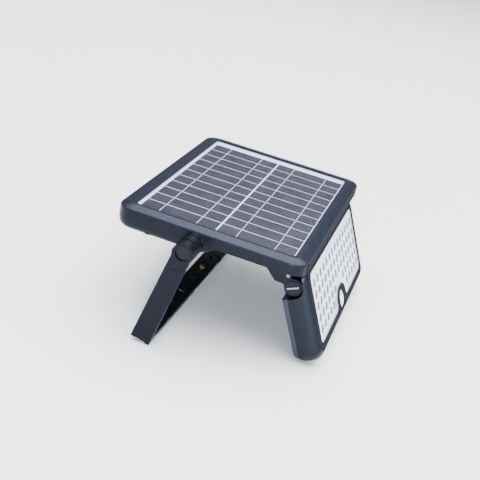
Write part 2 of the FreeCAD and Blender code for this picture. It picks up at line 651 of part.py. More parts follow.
def charge_board():
    board = Piece("charge_board", CASE)
    level = "0 - deep_drop + floor + 3"
    face = board.sketch("XY", level)
    west, east = "charge_x - charge_wide / 2", "charge_x + charge_wide / 2"
    board.rounded(face, west, east, "charge_y - charge_long / 2", "charge_y + charge_long / 2", "2")
    board.pad(face, "board_thick")
    feet = board.sketch("XY", level)
    for x in (west + " + 3", east + " - 3"):
        for y in ("charge_y - charge_long / 2 + 3", "charge_y + charge_long / 2 - 3"):
            board.circle(feet, x, y, "1.8")
    board.pad(feet, "3", backwards=True)

    parts = Piece("board_parts", CASE)
    top = "0 - deep_drop + floor + 3 + board_thick"
    chips = parts.sketch("XY", top)
    parts.box(chips, "charge_x - 8", "charge_x - 2", "charge_y - 4", "charge_y + 4")
    parts.box(chips, "charge_x + 2", "charge_x + 9", "charge_y + 8", "charge_y + 15")
    parts.box(chips, "charge_x - 9", "charge_x - 2", "charge_y + 16", "charge_y + 24")
    parts.pad(chips, "2.6")
    cans = parts.sketch("XY", top)
    for x, y in (("charge_x + 6", "charge_y - 12"), ("charge_x - 6", "charge_y - 16")):
        parts.circle(cans, x, y, "3.2")
    parts.pad(cans, "6")


def lead_glands():
    """Rubber glands where the lamp's lead leaves the case and enters the lamp; the lead is not modelled."""
    gland = Piece("case_gland", CASE)
    collar = gland.sketch("YZ", "deep_reach - wall - 5.4")
    gland.circle(collar, "0", "0 - gland_drop", "gland_r - 0.01")
    gland.circle(collar, "0", "0 - gland_drop", "1.9")
    gland.pad(collar, "wall + 7.6")


# ---------------------------------------------------------------- power button

def power_button():
    boot = Piece("button_boot", CASE)
    ring = boot.sketch("XY", "0 - deep_drop")
    boot.circle(ring, "button_x", "button_y", "boot_r")
    boot.circle(ring, "button_x", "button_y", "button_r + button_play")
    boot.pad(ring, "boot_thick", backwards=True)
    boot.fillet("0.5", lambda edge: level_at(edge, "Z", "0 - deep_drop - boot_thick"))

    button = Piece("power_button", CASE)
    cap = button.sketch("XY", "0 - deep_drop - boot_thick - button_proud")
    button.circle(cap, "button_x", "button_y", "button_r")
    button.pad(cap, "button_proud + boot_thick + floor")
    button.fillet("0.9", lambda edge: level_at(edge, "Z", "0 - deep_drop - boot_thick - button_proud"))
    stem = button.sketch("XY", "0 - deep_drop + floor")
    button.circle(stem, "button_x", "button_y", "button_stem_r")
    button.pad(stem, "3")

    switch = Piece("power_switch", CASE)
    can = switch.sketch("XY", "0 - deep_drop + floor + 5.2")
    switch.box(can, "button_x - 6", "button_x + 6", "button_y - 6", "button_y + 6")
    switch.pad(can, "4")
    legs = switch.sketch("XY", "0 - deep_drop + floor")
    for x in ("button_x - 7", "button_x + 7"):
        switch.box(legs, x + " - 1.5", x + " + 1.5", "button_y - 6", "button_y + 6")
    switch.pad(legs, "9.2")


# ---------------------------------------------------------------- bracket

def foot_holes():
    return [("foot_mid - 2.5 * hole_pitch", "small_hole_r"),
            ("foot_mid - 1.5 * hole_pitch", "large_hole_r"),
            ("foot_mid + 1.5 * hole_pitch", "small_hole_r"),
            ("foot_mid + 2.5 * hole_pitch", "small_hole_r")]


def joint_places():
    return ["foot_mid - 0.5 * hole_pitch", "foot_mid + 0.5 * hole_pitch"]


def bracket_half(side):
    """An L: a flat arm with a raised rib and a round hub, and a channel foot that laps the other half."""
    half = Piece(side.label + "_bracket_half", BRACKET)
    near, sign = side.near, side.sign
    inner_face = "(%s(%s - %s))" % (sign, side.arm_face, side.arm_thick)
    arm = half.sketch("XZ", "0 - " + inner_face)
    half.polygon(arm, [("0 - foot_wide / 2", "0 - arm_drop"), ("foot_wide / 2", "0 - arm_drop"),
                       ("arm_top_wide / 2", "0"), ("0 - arm_top_wide / 2", "0")])
    half.pad(arm, side.arm_thick, backwards=not near)
    hub = half.sketch("XZ", "0 - (%s%s)" % (sign, side.ring_end))
    half.circle(hub, "0", "0", side.ring_r)
    half.pad(hub, "%s + %s - %s" % (side.arm_face, side.rib_proud, side.ring_end), backwards=not near)
    rib = half.sketch("XZ", "0 - (%s(%s - 1))" % (sign, side.arm_face))
    half.rounded(rib, "0 - rib_wide / 2", "rib_wide / 2", "0 - rib_bottom", "0 - rib_top",
                 "rib_wide / 2 - 0.01")
    half.pad(rib, side.rib_proud + " + 1", backwards=not near)

    # foot: a plate with two rims, full depth up to the shoulder and a round tongue past it
    plate_top = "0 - arm_drop + foot_deep"
    shoulder = "near_shoulder" if near else "far_shoulder"
    tongue_hole = "foot_mid + 1.5 * hole_pitch" if near else "foot_mid - 0.5 * hole_pitch"
    block = half.sketch("XY", plate_top)
    ends = ("0 - arm_face", shoulder) if near else (shoulder, "far_arm_face")
    half.box(block, "0 - foot_wide / 2", "foot_wide / 2", ends[0], ends[1])
    half.pad(block, "foot_deep", backwards=True)
    tongue_top = plate_top if near else plate_top + " - foot_plate"
    tongue = half.sketch("XY", tongue_top)
    reach = (shoulder + " - 1", tongue_hole) if near else (tongue_hole, shoulder + " + 1")
    half.box(tongue, "0 - foot_wide / 2", "foot_wide / 2", reach[0], reach[1])
    half.pad(tongue, "foot_plate", backwards=True)
    round_end = half.sketch("XY", tongue_top)
    half.circle(round_end, "0", tongue_hole, "foot_wide / 2")
    half.pad(round_end, "foot_plate", backwards=True)
    trough = half.sketch("XY", "0 - arm_drop")
    if near:
        trough_ends = ("0 - arm_face + arm_thick", shoulder)
    else:
        trough_ends = (shoulder + " + foot_rim", "far_arm_face - far_arm_thick")
    half.box(trough, "0 - foot_wide / 2 + foot_rim", "foot_wide / 2 - foot_rim", *trough_ends)
    half.pocket(trough, "foot_deep - foot_plate", backwards=True)

    # shallow arch in the arm's lower edge
    arch = half.sketch("XZ", "0 - (%s(%s + 5))" % (sign, side.arm_face))
    half.polygon(arch, [("0 - foot_wide / 2 + 3.5", "0 - arm_drop - 1"),
                        ("foot_wide / 2 - 3.5", "0 - arm_drop - 1"),
                        ("foot_wide / 2 - 5.5", "0 - arm_drop + arch_rise"),
                        ("0 - foot_wide / 2 + 5.5", "0 - arm_drop + arch_rise")])
    half.pocket(arch, side.arm_thick + " + 6", backwards=not near)

    # holes in the foot: screws to fix the light, and the lap joint's own screws
    holes = half.sketch("XY", plate_top + " + 1")
    for y, radius in foot_holes():
        past_end = number(y) - number(tongue_hole)
        if (past_end < 5) if near else (past_end > -5):
            half.circle(holes, "0", y, radius)
    for y in joint_places():
        half.circle(holes, "0", y, "joint_screw_r")
    half.pocket(holes, "foot_deep + 2")

    # hub: the bolt runs in it, its head lies in a well, and the cap closes the well
    bore = half.sketch("XZ", "0 - (%s(%s - 1))" % (sign, side.ring_end))
    half.circle(bore, "0", "0", "bolt_r + running")
    half.pocket(bore, "60", backwards=near)
    well = half.sketch("XZ", "0 - (%s%s)" % (sign, side.seat))
    half.circle(well, "0", "0", "head_well_r")
    half.pocket(well, "60", backwards=near)
    if near:
        groove = half.sketch("XZ", "groove_at")
        half.circle(groove, "0", "0", "ring_r + 5")
        half.circle(groove, "0", "0", "ring_r - groove_deep")
        half.pocket(groove, "groove_wide", backwards=True)


def joint_hardware():
    screws = Piece("joint_screws", BRACKET)
    nuts = Piece("joint_nuts", BRACKET)
    plate_top = "(0 - arm_drop + foot_deep)"
    under = "(0 - arm_drop + foot_deep - 2 * foot_plate)"
    first, second = joint_places()
    shanks = screws.sketch("XY", under)
    for y in (first, second):
        screws.circle(shanks, "0", y, "joint_screw_r")
    screws.pad(shanks, "2 * foot_plate")
    top_head = screws.sketch("XY", plate_top)
    screws.circle(top_head, "0", first, "joint_head_r")
    screws.pad(top_head, "joint_head_thick * 0.6")
    low_shank = screws.sketch("XY", under)
    screws.circle(low_shank, "0", first, "joint_screw_r")
    screws.pad(low_shank, "1.4", backwards=True)
    low_head = screws.sketch("XY", under)
    screws.circle(low_head, "0", second, "joint_head_r")
    screws.pad(low_head, "1.4", backwards=True)
    high_shank = screws.sketch("XY", plate_top)
    screws.circle(high_shank, "0", second, "joint_screw_r")
    screws.pad(high_shank, "joint_nut_thick * 0.7")

    top_nut = nuts.sketch("XY", plate_top)
    hexagon(nuts, top_nut, "0", second, "joint_nut_flats")
    nuts.circle(top_nut, "0", second, "joint_screw_r")
    nuts.pad(top_nut, "joint_nut_thick * 0.6")
    low_nut = nuts.sketch("XY", under)
    hexagon(nuts, low_nut, "0", first, "joint_nut_flats")
    nuts.circle(low_nut, "0", first, "joint_screw_r")
    nuts.pad(low_nut, "1.4", backwards=True)


def friction_ring(side):
    ring = Piece(side.label + "_friction_ring", BRACKET)
    inner = "(%s + turn_gap)" % side.boss_reach
    face = ring.sketch("XZ", "0 - (%s%s)" % (side.sign, inner))
    ring.circle(face, "0", "0", side.ring_r)
    ring.circle(face, "0", "0", "bolt_r + turn_gap")
    ring.pad(face, "%s - %s" % (side.ring_end, inner), backwards=not side.near)
    knurl = ring.sketch("XZ", "0 - (%s%s)" % (side.sign, inner))
    total = int(number("knurl_count"))
    for tooth in range(total):
        angle = 360.0 * tooth / total
        ring.circle(knurl, "%s * cos(%.3f deg)" % (side.ring_r, angle),
                    "%s * sin(%.3f deg)" % (side.ring_r, angle), "knurl_r")
    ring.pocket(knurl, side.knurl_deep, backwards=side.near)


def pivot_cap():
    """A disc sunk in the near hub, over the bolt's head."""
    cap = Piece("pivot_cap", BRACKET)
    face = cap.sketch("XZ", "arm_face + rib_proud - cap_sink - cap_thick")
    cap.circle(face, "0", "0", "head_well_r - 0.01")
    cap.pad(face, "cap_thick")


# ---------------------------------------------------------------- lamp

def section_path(half, top, bottom, corner):
    return [("0 - " + half, bottom, corner), (half, bottom, corner),
            (half, top, corner), ("0 - " + half, top, corner)]


HINGE_CORNERS = (("0 - bulge_half + 5", "0 - notch_in + notch_wall"),
                 ("notch_in - notch_wall", "bulge_half - 5"))


def lamp_section(piece, x, half, top, bottom, corner):
    section = piece.sketch("YZ", x)
    return piece.smooth(section, section_path(half, top, bottom, corner))


def hinge_notches(piece):
    """Both upper back corners are cut away round the hinge lugs."""
    for sign, near in (("0 - ", True), ("", False)):
        start = "(%snotch_in)" % sign
        step = piece.sketch("XZ", "0 - " + start)
        piece.polygon(step, [("notch_rim_x", "40"), ("notch_rim_x", "3"), ("0", "notch_floor"),
                             ("0 - 30", "notch_floor"), ("0 - 30", "40")])
        piece.pocket(step, "40", backwards=near)


def lamp_body():
    body = Piece("lamp_body", LAMP)
    front = lamp_section(body, "face_x", "lamp_half", "lamp_top", "lamp_bottom", "lamp_corner")
    shoulder = lamp_section(body, "shoulder_x", "shoulder_half", "shoulder_top", "shoulder_bottom",
                            "shoulder_corner")
    bulge = lamp_section(body, "bulge_x", "bulge_half", "bulge_top", "bulge_bottom", "bulge_corner")
    split = lamp_section(body, "split_x", "(bulge_half - 0.4)", "bulge_top", "(bulge_bottom + 0.2)",
                         "bulge_corner")
    body.loft([front, shoulder, bulge, split])

    # window, with a rebate behind it for the lens; the arch round the motion sensor stays solid
    window = body.sketch("YZ", "face_x + 1")
    body.smooth(window, window_path("0"))
    body.pocket(window, "face_x + 1 - bulge_x")
    rebate = body.sketch("YZ", "lens_flange_x + lens_seal_thick")
    body.smooth(rebate, window_path("(lens_flange_lap + fit_gap)"))
    body.pocket(rebate, "lens_flange_x + lens_seal_thick - bulge_x + 2")

    # hollow behind: the upper corners stay solid for the hinge notches
    low_room = body.sketch("YZ", "bulge_x")
    body.rounded(low_room, "0 - bulge_half + lamp_wall + 0.8", "bulge_half - lamp_wall - 0.8",
                 "bulge_bottom + lamp_wall + 0.6", "notch_floor - 2.6", "6")
    body.pocket(low_room, "40")
    high_room = body.sketch("YZ", "bulge_x + 4")
    body.rounded(high_room, "0 - notch_in + notch_wall", "notch_in - notch_wall", "notch_floor - 10",
                 "bulge_top - lamp_wall", "4")
    body.pocket(high_room, "40")
    corner_fill = body.sketch("YZ", "split_x")
    for low, high in HINGE_CORNERS:
        body.box(corner_fill, low, high, "notch_floor - 2.6", "window_top + 4")
    body.pad(corner_fill, "lens_flange_x - split_x - lens_flange_thick - 0.3")
    hinge_notches(body)

    # round the barrel the notch is a hollow arc, and a boss inside carries the hinge pin
    for sign, near in (("0 - ", True), ("", False)):
        hollow = body.sketch("XZ", "0 - (%snotch_in)" % sign)
        body.circle(hollow, "0", "0", "notch_r")
        body.pocket(hollow, "40", backwards=near)
        boss = body.sketch("XZ", "0 - (%s(pin_end + 1))" % sign)
        body.circle(boss, "0", "0", "boss_r")
        body.pad(boss, "notch_in - pin_end - 1.5", backwards=not near)
        web = body.sketch("XZ", "0 - (%s(pin_end + 1))" % sign)
        body.box(web, "0 - 2", "2", "0", "bulge_top - 1")
        body.pad(web, "notch_in - pin_end - 1.5", backwards=not near)
        bore = body.sketch("XZ", "0 - (%s(pin_end - 1))" % sign)
        body.circle(bore, "0", "0", "pin_r + running")
        body.pocket(bore, "40", backwards=near)

    # hole for the sensor's dome, open at the lower edge, and posts for the back's screws
    dome_hole = body.sketch("YZ", "face_x + 1")
    body.circle(dome_hole, "0", "sensor_z", "dome_hole_r")
    body.pocket(dome_hole, "face_x + 1 - bulge_x")
    posts = body.sketch("YZ", "split_x")
    screw_holes = body.sketch("YZ", "split_x - 1")
    for y, z in back_screw_places():
        body.circle(posts, y, z, "back_post_r")
        body.circle(screw_holes, y, z, "back_screw_r")
    body.pad(posts, "bulge_x - split_x + 0.5")
    body.pocket(screw_holes, "9", backwards=True)


def window_path(grow):
    """The window's outline, with the sensor's arch cut into its lower edge; grow widens the window."""
    half, low, high = "(window_half + %s)" % grow, "(window_bottom - %s)" % grow, "(window_top + %s)" % grow
    arch, arch_top = "(arch_half - %s)" % grow, "(arch_top - %s)" % grow
    corner, flare = "(window_corner + %s)" % grow, "(arch_flare + %s)" % grow
    arch_round = "(arch_round - %s)" % grow
    return [("0 - " + half, low, corner), ("0 - " + arch, low, flare),
            ("0 - " + arch, arch_top, arch_round),
            (arch, arch_top, arch_round), (arch, low, flare), (half, low, corner),
            (half, high, corner), ("0 - " + half, high, corner)]


def board_path():
    """As the window, drawn in a little, with its upper corners stepped in past the hinge notches."""
    path = window_path("(0 - board_inset)")
    half, high = "(notch_in - notch_wall - 0.4)", path[6][1]
    step = "(notch_floor - 2.6 - 1)"
    wide = path[5][0]
    return path[:6] + [(wide, step, "1"), (half, step, "1"), (half, high, "3"), ("0 - " + half, high, "3"),
                       ("0 - " + half, step, "1"), ("0 - " + wide, step, "1")]


def back_screw_places():
    return [(y, z) for y in ("0 - 60", "60") for z in ("0 - 73.6", "13")] + [
        (y, "0 - 45") for y in ("0 - 104.6", "104.6")]


def lamp_lens():
    lens = Piece("lamp_lens", LAMP)
    flange = lens.sketch("YZ", "lens_flange_x - lens_flange_thick")
    lens.smooth(flange, window_path("lens_flange_lap"))
    lens.pad(flange, "lens_flange_thick")
    front = lens.sketch("YZ", "lens_flange_x")
    lens.smooth(front, window_path("(0 - fit_gap)"))
    lens.pad(front, "face_x - lens_sink - lens_flange_x")

    seal = Piece("lens_seal", LAMP)
    ring = seal.sketch("YZ", "lens_flange_x")
    seal.smooth(ring, window_path("lens_flange_lap"))
    seal.smooth(ring, window_path("0.6"))
    seal.pad(ring, "lens_seal_thick")


def led_rows():
    """Rows of lamps, less those that the sensor's arch takes the place of."""
    rows, columns = int(number("led_rows")), int(number("led_columns"))
    places = []
    for row in range(rows):
        room = {rows - 2: 1, rows - 1: 2}.get(row, 0)
        offsets = [column - (columns - 1) / 2 for column in range(columns)]
        places.append([("led_pitch_y * (%.1f)" % offset, "led_top_z - led_pitch_z * %d" % row)
                       for offset in offsets if abs(offset) > room])
    return places


def lamp_inside():
    board = Piece("led_board", LAMP)
    face = board.sketch("YZ", "board_x")
    board.smooth(face, board_path())
    board.pad(face, "board_thick")

    plate = Piece("heat_plate", LAMP)
    back = plate.sketch("YZ", "board_x - heat_plate_thick")
    plate.smooth(back, board_path())
    plate.pad(back, "heat_plate_thick")

    chips = Piece("led_chips", LAMP)
    for row in led_rows():
        line = chips.sketch("YZ", "board_x + board_thick")
        for y, z in row:
            chips.box(line, y + " - led_side / 2", y + " + led_side / 2",
                      z + " - led_side / 2", z + " + led_side / 2")
        chips.pad(line, "led_thick")


def motion_sensor():
    dome = Piece("sensor_dome", LAMP)
    profile = dome.sketch("XZ")
    profile.setExpression("AttachmentOffset.Base.y", named("sensor_z"))
    radius = number("dome_hole_r - fit_gap / 2")
    ball = number("dome_ball_r")
    tip = number("face_x + dome_rise")
    root = number("dome_root_x")
    edge = tip - ball + math.sqrt(ball ** 2 - radius ** 2)
    middle_angle = math.asin(radius / ball) / 2
    middle = FreeCAD.Vector(tip - ball + ball * math.cos(middle_angle), ball * math.sin(middle_angle), 0)
    corners = [FreeCAD.Vector(root, 0, 0), FreeCAD.Vector(tip, 0, 0), FreeCAD.Vector(edge, radius, 0),
               FreeCAD.Vector(root, radius, 0)]
    profile.addGeometry(Part.LineSegment(corners[0], corners[1]), False)
    profile.addGeometry(Part.Arc(corners[1], middle, corners[2]), False)
    profile.addGeometry(Part.LineSegment(corners[2], corners[3]), False)
    profile.addGeometry(Part.LineSegment(corners[3], corners[0]), False)
    dome.revolve(profile)
    hollow = dome.sketch("YZ", "dome_root_x")
    dome.circle(hollow, "0", "sensor_z", "dome_hole_r - 1.6")
    dome.pocket(hollow, "face_x - dome_root_x - 4.6", backwards=True)

    board = Piece("sensor_board", LAMP)
    face = board.sketch("YZ", "bulge_x - board_thick - 0.1")
    board.rounded(face, "0 - 15", "15", "sensor_z - 12.5", "sensor_z + 12.5", "2")
    board.pad(face, "board_thick")

    can = Piece("sensor_can", LAMP)
    round_face = can.sketch("YZ", "bulge_x - 0.1")
    can.circle(round_face, "0", "sensor_z", "can_r")
    can.pad(round_face, "can_long")
    can.fillet("0.5", lambda edge: level_at(edge, "X", "bulge_x - 0.1 + can_long"))


def lamp_back():
    back = Piece("lamp_back", LAMP)
    plan = lamp_section(back, "back_x", "(bulge_half - back_step - 0.4)", "(bulge_top - back_step)",
                        "(bulge_bottom + back_step + 0.2)", "bulge_corner")
    back.pad(plan, "split_x - back_x")
    back.fillet("back_round", lambda edge: level_at(edge, "X", "back_x"))
    room = lamp_section(back, "split_x", "(bulge_half - back_step - 3)", "(bulge_top - back_step - 2.6)",
                        "(bulge_bottom + back_step + 2.8)", "11")
    back.pocket(room, "split_x - back_x - 2.4")
    corners = back.sketch("YZ", "split_x")
    for low, high in HINGE_CORNERS:
        back.box(corners, low, high, "notch_floor - 2.6", "bulge_top - back_step - 1")
    back.pad(corners, "split_x - back_x - 1", backwards=True)
    posts = back.sketch("YZ", "split_x")
    wells = back.sketch("YZ", "back_x - 1")
    holes = back.sketch("YZ", "split_x + 1")
    for y, z in back_screw_places():
        back.circle(posts, y, z, "back_post_r + 1")
        back.circle(wells, y, z, "screw_head_r + 0.4")
        back.circle(holes, y, z, "back_screw_r + 0.2")
    back.pad(posts, "split_x - back_x - 1", backwards=True)
    outside = lamp_section(back, "split_x + 1", "(bulge_half * 2)", "(bulge_top + 90)",
                           "(bulge_bottom - 90)", "bulge_corner")
    back.smooth(outside, section_path("(bulge_half - back_step - 0.4)", "(bulge_top - back_step)",
                                      "(bulge_bottom + back_step + 0.2)", "bulge_corner"))
    back.pocket(outside, "split_x - back_x - 1.5 + back_round / 4")
    hinge_notches(back)
    back.pocket(wells, "3", backwards=True)
    back.pocket(holes, "8")
    gland = back.sketch("YZ", "back_x - 1")
    back.circle(gland, "0", "3", "gland_r")
    back.pocket(gland, "9", backwards=True)

    screws = Piece("back_screws", LAMP)
    heads = screws.sketch("YZ", "back_x + 2")
    shanks = screws.sketch("YZ", "back_x + 2")
    slots = screws.sketch("YZ", "back_x")
    for y, z in back_screw_places():
        screws.circle(heads, y, z, "screw_head_r")
        screws.circle(shanks, y, z, "back_screw_r")
        screws.box(slots, y + " - 2", y + " + 2", z + " - 0.35", z + " + 0.35")
    screws.pad(heads, "1.8", backwards=True)
    screws.pad(shanks, "10")
    screws.pocket(slots, "1.1", backwards=True)

    collar = Piece("lamp_gland", LAMP)
    ring = collar.sketch("YZ", "back_x - 0.01")
    collar.circle(ring, "0", "3", "gland_r - 0.01")
    collar.circle(ring, "0", "3", "1.9")
    collar.pad(ring, "4")


def main():
    top_bezel()
    solar_laminate()
    case_seal()
    lower_case()
    case_screws()
    pivot_bolts()
    pivot_nuts()
    hinge_lug("near_hinge_lug", "0 - ")
    hinge_lug("far_hinge_lug", "")
    lug_screws()
    hinge_pins()
    batteries()
    battery_tray()
    charge_board()
    lead_glands()
    power_button()
    for side in SIDES:
        bracket_half(side)
        friction_ring(side)
    joint_hardware()
    pivot_cap()
    lamp_body()
    lamp_lens()
    lamp_inside()
    motion_sensor()
    lamp_back()
    write_all()


def write_all():
    for piece in PIECES:
        piece.body.Placement = piece.place
    doc.recompute()
    for item in doc.Objects:
        if "Invalid" in item.State or "Error" in item.State:
            raise ValueError("%s did not recompute: %s" % (item.Label, item.State))
    os.makedirs("parts", exist_ok=True)
    for piece in PIECES:
        shape = piece.body.Shape
        if shape.isNull() or not shape.isValid():
            raise ValueError(piece.body.Label + " has no valid shape")
        shape.exportStep("parts/%s.step" % piece.body.Label)
        box = shape.BoundBox
        print("%-20s %2d solids %9.1f mm3  x %.2f..%.2f y %.2f..%.2f z %.2f..%.2f" % (
            piece.body.Label, len(shape.Solids), shape.Volume,
            box.XMin, box.XMax, box.YMin, box.YMax, box.ZMin, box.ZMax))


main()
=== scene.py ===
import json
import math

import bmesh
import bpy
from mathutils import Matrix, Vector


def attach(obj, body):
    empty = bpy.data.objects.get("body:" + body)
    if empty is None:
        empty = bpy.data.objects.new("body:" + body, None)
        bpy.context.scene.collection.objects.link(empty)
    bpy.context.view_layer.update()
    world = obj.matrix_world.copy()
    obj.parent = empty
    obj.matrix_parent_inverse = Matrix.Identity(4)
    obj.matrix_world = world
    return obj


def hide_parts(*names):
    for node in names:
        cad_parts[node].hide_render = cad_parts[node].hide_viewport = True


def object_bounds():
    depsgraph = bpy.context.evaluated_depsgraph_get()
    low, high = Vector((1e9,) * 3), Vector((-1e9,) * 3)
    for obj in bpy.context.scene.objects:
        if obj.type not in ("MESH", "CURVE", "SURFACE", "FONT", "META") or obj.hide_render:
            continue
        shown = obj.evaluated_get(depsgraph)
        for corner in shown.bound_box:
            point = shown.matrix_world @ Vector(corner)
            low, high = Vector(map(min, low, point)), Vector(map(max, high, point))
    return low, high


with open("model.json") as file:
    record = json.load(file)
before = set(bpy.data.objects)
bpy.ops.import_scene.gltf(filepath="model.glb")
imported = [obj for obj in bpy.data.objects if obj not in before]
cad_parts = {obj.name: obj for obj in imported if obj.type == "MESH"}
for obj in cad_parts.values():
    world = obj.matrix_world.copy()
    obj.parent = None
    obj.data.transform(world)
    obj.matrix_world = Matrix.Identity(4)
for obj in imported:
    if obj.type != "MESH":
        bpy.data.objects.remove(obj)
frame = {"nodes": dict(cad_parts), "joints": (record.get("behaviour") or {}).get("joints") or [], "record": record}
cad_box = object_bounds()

MM = 0.001
PIVOT_TO_GLASS = (13.2, 0.0, 12.8)
LAMP_LEAN = 24.73
joints = {joint["name"]: joint for joint in frame["joints"]}
pivot = Vector(joints["bracket_pivot"]["pos_m"])
hinge = Vector(joints["lamp_tilt"]["pos_m"])
case_up = Vector(joints["button_press"]["axis"])
case_slope = math.atan2(case_up.x, case_up.z)
lamp_slope = case_slope - math.radians(LAMP_LEAN)

# The CAD's local frames: the case's has its origin on the glass and Z square to it,
# and the lamp's has its origin on the hinge and X out of the face.
CASE_TURN = Matrix.Rotation(case_slope, 4, "Y")
CASE = Matrix.Translation(pivot) @ CASE_TURN @ Matrix.Translation(Vector(PIVOT_TO_GLASS) * MM)
LAMP = Matrix.Translation(hinge) @ Matrix.Rotation(lamp_slope, 4, "Y")

# sizes in millimetres, in those frames
COLUMN_PITCH, CELL_WIDE, CELL_DEEP, ROW_PITCH, CELL_ROWS = 79.7, 78.0, 19.5, 20.76, 11
GRID_X, GRID_Y, BUSBAR_OFFSET = 0.9, -3.9, 19.5
CELL_CORNER_CUT = 0.6
OPENING_WIDE, OPENING_LONG, OPENING_CORNER = 163.0, 243.0, 4.0
LIP_LAP, FIT_GAP = 3.0, 0.2
SHEET_TOP, CELL_TOP, COVER_UNDER = -1.10, -0.92, -0.60
LED_PITCH_Y, LED_PITCH_Z, LED_TOP, LED_COLUMNS, LED_ROWS = 13.83, 12.36, -3.4, 14, 5
WINDOW_HALF, WINDOW_LOW, WINDOW_HIGH, WINDOW_CORNER = 100.8, -65.5, 9.7, 6.5
ARCH_HALF, ARCH_TOP, ARCH_ROUND, ARCH_FLARE = 19.5, -45.4, 15.0, 6.0
LENS_FRONT, LENS_FLANGE, LENS_BACK = 16.3, 14.7, 13.1

# the laminate reaches under the bezel's lip all round, less the gap it is fitted with
COVER_X = OPENING_WIDE / 2 + LIP_LAP - FIT_GAP
COVER_Y = OPENING_LONG / 2 + LIP_LAP - FIT_GAP
COVER_CORNER = OPENING_CORNER - FIT_GAP

# one bowl of the lens from its rim inwards: (radius, rise above the lens's front, painted shade greying the bowl)
LENS_BOWL = [(4.9, 0.0, 0.0), (4.7, 0.10, 0.15), (4.5, 0.08, 0.55), (4.3, -0.12, 0.9),
             (4.0, -0.60, 1.0), (3.6, -1.0, 1.0), (3.1, -1.3, 0.9), (2.5, -1.5, 0.75),
             (1.9, -1.45, 0.6), (1.5, -1.2, 0.5), (1.0, -0.9, 0.3), (0.5, -0.75, 0.2)]
BOWL_TIP_DROP, BOWL_TIP_SHADE = 0.68, 0.1


# ---------------------------------------------------------------- materials

class Shader:
    """A small helper around one material's node tree."""

    def __init__(self, name):
        self.material = bpy.data.materials.new(name)
        self.material.use_nodes = True
        self.tree = self.material.node_tree
        self.main = self.tree.nodes["Principled BSDF"]
        self.output = self.tree.nodes["Material Output"]
        self.coords = self.tree.nodes.new("ShaderNodeTexCoord")

    def node(self, kind, **settings):
        node = self.tree.nodes.new(kind)
        for key, value in settings.items():
            setattr(node, key, value)
        return node

    def link(self, start, end):
        self.tree.links.new(start, end)

    def set(self, **values):
        for key, value in values.items():
            self.main.inputs[key.replace("_", " ")].default_value = value

    def noise(self, scale, detail=3.0, stretch=None):
        texture = self.node("ShaderNodeTexNoise")
        texture.inputs["Scale"].default_value = scale
        texture.inputs["Detail"].default_value = detail
        source = self.coords.outputs["Object"]
        if stretch:
            mapping = self.node("ShaderNodeMapping")
            mapping.inputs["Scale"].default_value = stretch
            self.link(source, mapping.inputs["Vector"])
            source = mapping.outputs["Vector"]
        self.link(source, texture.inputs["Vector"])
        return texture.outputs["Fac"]

    def ranged(self, value, low, high, start=0.3, end=0.7):
        node = self.node("ShaderNodeMapRange")
        node.inputs["From Min"].default_value = start
        node.inputs["From Max"].default_value = end
        node.inputs["To Min"].default_value = low
        node.inputs["To Max"].default_value = high
        self.link(value, node.inputs["Value"])
        return node.outputs["Result"]

    def mix(self, factor, first, second):
        node = self.node("ShaderNodeMix", data_type="RGBA")
        self.link(factor, node.inputs["Factor"])
        for value, socket in ((first, node.inputs["A"]), (second, node.inputs["B"])):
            if isinstance(value, tuple):
                socket.default_value = (*value, 1.0)
            else:
                self.link(value, socket)
        return node.outputs["Result"]

    def edges(self, radius):
        """(rounded normal, mask that is 1 on sharp edges)."""
        bevel = self.node("ShaderNodeBevel", samples=4)
        bevel.inputs["Radius"].default_value = radius
        geometry = self.node("ShaderNodeNewGeometry")
        dot = self.node("ShaderNodeVectorMath", operation="DOT_PRODUCT")
        self.link(bevel.outputs["Normal"], dot.inputs[0])
        self.link(geometry.outputs["Normal"], dot.inputs[1])
        return bevel.outputs["Normal"], self.ranged(dot.outputs["Value"], 1.0, 0.0, 0.80, 0.995)

    def bump(self, height, strength, distance, normal=None):
        node = self.node("ShaderNodeBump")
        node.inputs["Strength"].default_value = strength
        node.inputs["Distance"].default_value = distance
        self.link(height, node.inputs["Height"])
        if normal:
            self.link(normal, node.inputs["Normal"])
        self.link(node.outputs["Normal"], self.main.inputs["Normal"])


def moulded(name, colour, edge_highlight, rough, grain=2600.0, depth=0.00003, edge=0.0006, sheen=0.35, matt=None):
    """Injection-moulded plastic: spark-eroded grain, faint flow variation and a painted highlight lightening the
    sharp edges.

    matt is the direction that a dull, coarsely eroded face looks in.
    """
    s = Shader(name)
    rounded, on_edge = s.edges(edge)
    flow = s.ranged(s.noise(22.0, 4.0), 0.0, 0.35)
    body = s.mix(flow, colour, tuple(min(1.0, c * 1.35) for c in colour))
    # painted highlight: the sharp edges are mixed towards the second, lighter colour
    tint = s.mix(s.ranged(on_edge, 0.0, 0.6, 0.0, 1.0), body, edge_highlight)
    s.link(tint, s.main.inputs["Base Color"])
    fine = s.noise(grain, 2.0)
    gloss = s.ranged(s.noise(140.0, 3.0), rough - 0.05, rough + 0.06)
    if matt:
        toward = s.node("ShaderNodeVectorMath", operation="DOT_PRODUCT")
        toward.inputs[1].default_value = matt
        s.link(s.coords.outputs["Normal"], toward.inputs[0])
        dull = s.node("ShaderNodeMapRange")
        dull.inputs["From Min"].default_value = 0.90
        dull.inputs["From Max"].default_value = 0.98
        dull.inputs["To Max"].default_value = 0.95
        s.link(toward.outputs["Value"], dull.inputs["Value"])
        s.link(gloss, dull.inputs["To Min"])
        gloss = dull.outputs["Result"]
    s.link(gloss, s.main.inputs["Roughness"])
    s.bump(fine, 0.2, depth, rounded)
    s.set(Specular_IOR_Level=sheen, Specular_Tint=(0.72, 0.80, 1.0, 1.0))
    return s.material


